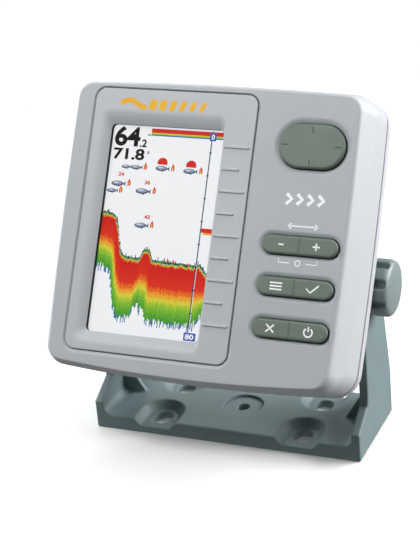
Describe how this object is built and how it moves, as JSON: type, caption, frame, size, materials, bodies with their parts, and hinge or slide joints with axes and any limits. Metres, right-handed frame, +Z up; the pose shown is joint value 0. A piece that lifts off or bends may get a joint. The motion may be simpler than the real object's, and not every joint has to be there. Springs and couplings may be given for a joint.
{
  "type": "fish finder",
  "caption": "Small sonar display head with a portrait colour screen, rocker keys and a direction pad, tilting between clamp knobs on a gimbal bracket.",
  "frame": {"origin": "under the middle of the whole outline, on the surface that the bracket stands on", "axes": "+Z up, the screen faces -Y and leans back, +X is to the right of someone facing the screen, along the tilt axis"},
  "size_m": [0.1598, 0.1188, 0.1693],
  "materials": {
    "bracket_grey": "moulded green-grey plastic with a fine matt texture",
    "case_silver": "satin silver-grey moulded plastic",
    "bezel_silver": "satin silver-grey moulded plastic",
    "rear_silver": "satin light silver moulded plastic",
    "key_green": "matt green-grey moulded plastic",
    "window_clear": "clear polished window",
    "display": "lit white liquid crystal display",
    "acrylic": "clear acrylic light guide",
    "steel": "zinc plated steel",
    "brass": "machined brass",
    "board_green": "solder-masked circuit board",
    "black_plastic": "black moulded plastic",
    "rubber": "black rubber",
    "silicone": "grey silicone rubber",
    "ribbon": "amber polyimide film",
    "ferrite": "sintered ferrite",
    "copper": "enamelled copper wire",
    "aluminium": "extruded aluminium"
  },
  "bodies": {
    "bracket": {"bracket": "bracket_grey"},
    "head": {"board_screw_1": "steel", "board_screw_2": "steel", "board_screw_3": "steel", "board_screw_4": "steel", "buzzer": "black_plastic", "capacitor_1": "black_plastic", "capacitor_2": "black_plastic", "case_gasket": "rubber", "case_screw_1": "steel", "case_screw_2": "steel", "case_screw_3": "steel", "case_screw_4": "steel", "case_screw_5": "steel", "case_screw_6": "steel", "flex_ribbon": "ribbon", "friction_washer_left": "rubber", "friction_washer_right": "rubber", "front_case": "case_silver", "heat_sink": "aluminium", "keypad_board": "board_green", "keypad_mat": "silicone", "lcd_frame": "steel", "lcd_panel": "display", "light_guide": "acrylic", "main_board": "board_green", "memory_chip": "black_plastic", "pivot_insert_left": "brass", "pivot_insert_right": "brass", "power_pin_1": "brass", "power_pin_2": "brass", "power_socket_core": "black_plastic", "power_socket_nut": "black_plastic", "power_socket_shell": "black_plastic", "processor_chip": "black_plastic", "rear_case": "rear_silver", "screen_bezel": "bezel_silver", "screen_window": "window_clear", "transducer_pin_1": "brass", "transducer_pin_2": "brass", "transducer_pin_3": "brass", "transducer_socket_core": "black_plastic", "transducer_socket_nut": "black_plastic", "transducer_socket_shell": "black_plastic", "transformer_coil": "copper", "transformer_core": "ferrite"},
    "knob_left": {"knob_left": "bracket_grey", "knob_stud_left": "steel"},
    "knob_right": {"knob_right": "bracket_grey", "knob_stud_right": "steel"},
    "dpad_pivot": {"dpad_pivot": "black_plastic"},
    "dpad": {"dpad": "key_green"},
    "range_key": {"range_key": "key_green"},
    "menu_key": {"menu_key": "key_green"},
    "exit_key": {"exit_key": "key_green"}
  },
  "joints": [
    {"name": "head_tilt", "type": "hinge", "parent": "bracket", "child": "head", "pos_m": [0, 0.00972, 0.077], "axis": [-1, 0, 0], "range_deg": [-30, 50]},
    {"name": "knob_left_turn", "type": "hinge", "parent": "head", "child": "knob_left", "pos_m": [-0.07, 0.00972, 0.077], "axis": [-1, 0, 0], "continuous": true},
    {"name": "knob_right_turn", "type": "hinge", "parent": "head", "child": "knob_right", "pos_m": [0.07, 0.00972, 0.077], "axis": [1, 0, 0], "continuous": true},
    {"name": "dpad_up_down", "type": "hinge", "parent": "head", "child": "dpad_pivot", "pos_m": [0.0481, 0.00008, 0.14632], "axis": [1, 0, 0], "range_deg": [-3, 3], "stiffness_Nm_per_rad": 0.4},
    {"name": "dpad_left_right", "type": "hinge", "parent": "dpad_pivot", "child": "dpad", "pos_m": [0.0481, 0.00008, 0.14632], "axis": [0, 0.518, 0.8554], "range_deg": [-3, 3], "stiffness_Nm_per_rad": 0.4},
    {"name": "range_key_rock", "type": "hinge", "parent": "head", "child": "range_key", "pos_m": [0.0481, -0.0227, 0.10879], "axis": [0, 0.518, 0.8554], "range_deg": [-3.5, 3.5], "stiffness_Nm_per_rad": 0.4},
    {"name": "menu_key_rock", "type": "hinge", "parent": "head", "child": "menu_key", "pos_m": [0.0481, -0.03218, 0.09314], "axis": [0, 0.518, 0.8554], "range_deg": [-3.5, 3.5], "stiffness_Nm_per_rad": 0.4},
    {"name": "exit_key_rock", "type": "hinge", "parent": "head", "child": "exit_key", "pos_m": [0.0481, -0.04177, 0.07731], "axis": [0, 0.518, 0.8554], "range_deg": [-3.5, 3.5], "stiffness_Nm_per_rad": 0.4}
  ]
}
